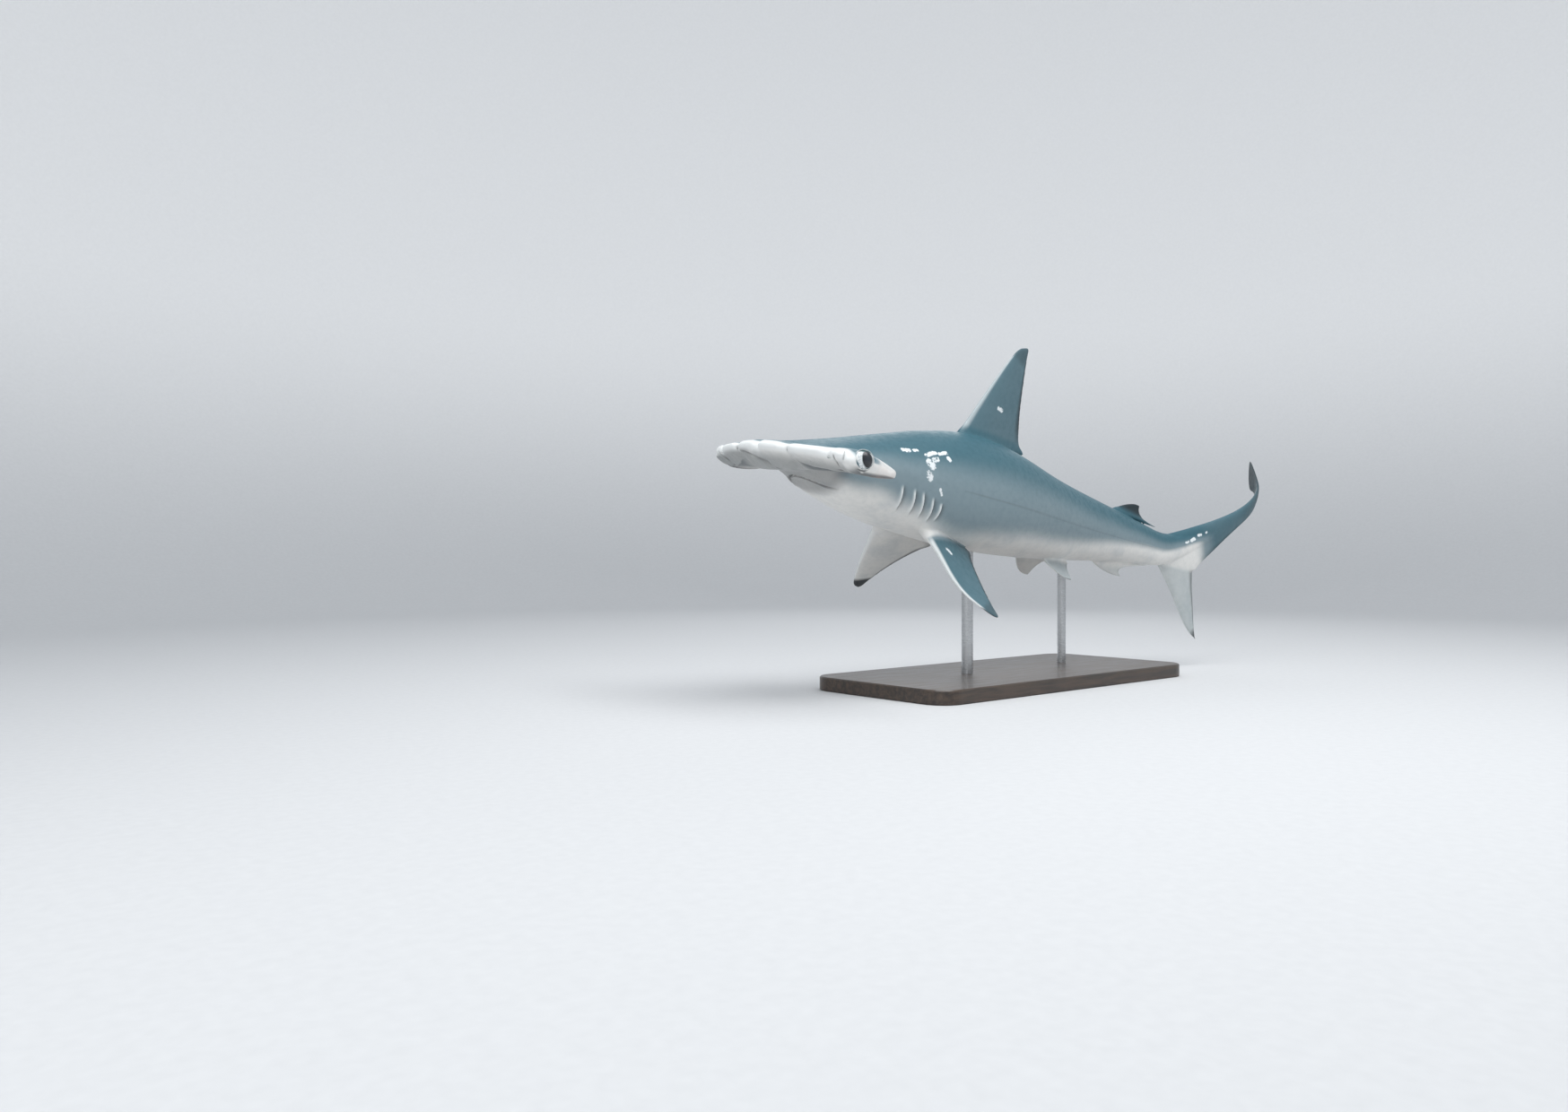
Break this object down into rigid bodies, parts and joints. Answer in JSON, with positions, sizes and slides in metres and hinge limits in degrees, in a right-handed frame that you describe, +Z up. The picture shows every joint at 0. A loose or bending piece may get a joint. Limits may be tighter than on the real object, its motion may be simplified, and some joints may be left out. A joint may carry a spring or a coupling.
{
  "type": "hammerhead shark display model",
  "caption": "Still, life-size scalloped hammerhead shark, banking as it swims with its head turned a little, held by two short rods on a plain rounded plate.",
  "frame": {"origin": "centre of the stand plate's underside", "axes": "+Z up, +X towards the animal's nose, +Y to the animal's left"},
  "size_m": [2.069, 0.617, 0.9047],
  "materials": {
    "skin_back": "wet satin, grey-blue",
    "skin_fin": "wet satin, grey-blue with dark edges",
    "skin_pale": "satin, off-white",
    "eye": "glossy, near black",
    "stand_plate": "dark stained, satin",
    "stand_rod": "brushed"
  },
  "bodies": {
    "root": {"head": "skin_back", "lower_jaw": "skin_pale", "eye_left": "eye", "eye_right": "eye", "neck": "skin_back", "torso": "skin_back", "rear_body": "skin_back", "tail_stem": "skin_back", "dorsal_fin_1": "skin_fin", "dorsal_fin_2": "skin_fin", "anal_fin": "skin_pale", "pectoral_fin_left": "skin_fin", "pectoral_fin_right": "skin_fin", "pelvic_fin_left": "skin_pale", "pelvic_fin_right": "skin_pale", "caudal_upper_lobe": "skin_fin", "caudal_lower_lobe": "skin_pale", "stand_base": "stand_plate", "stand_rod_front": "stand_rod", "stand_rod_rear": "stand_rod"}
  },
  "joints": []
}
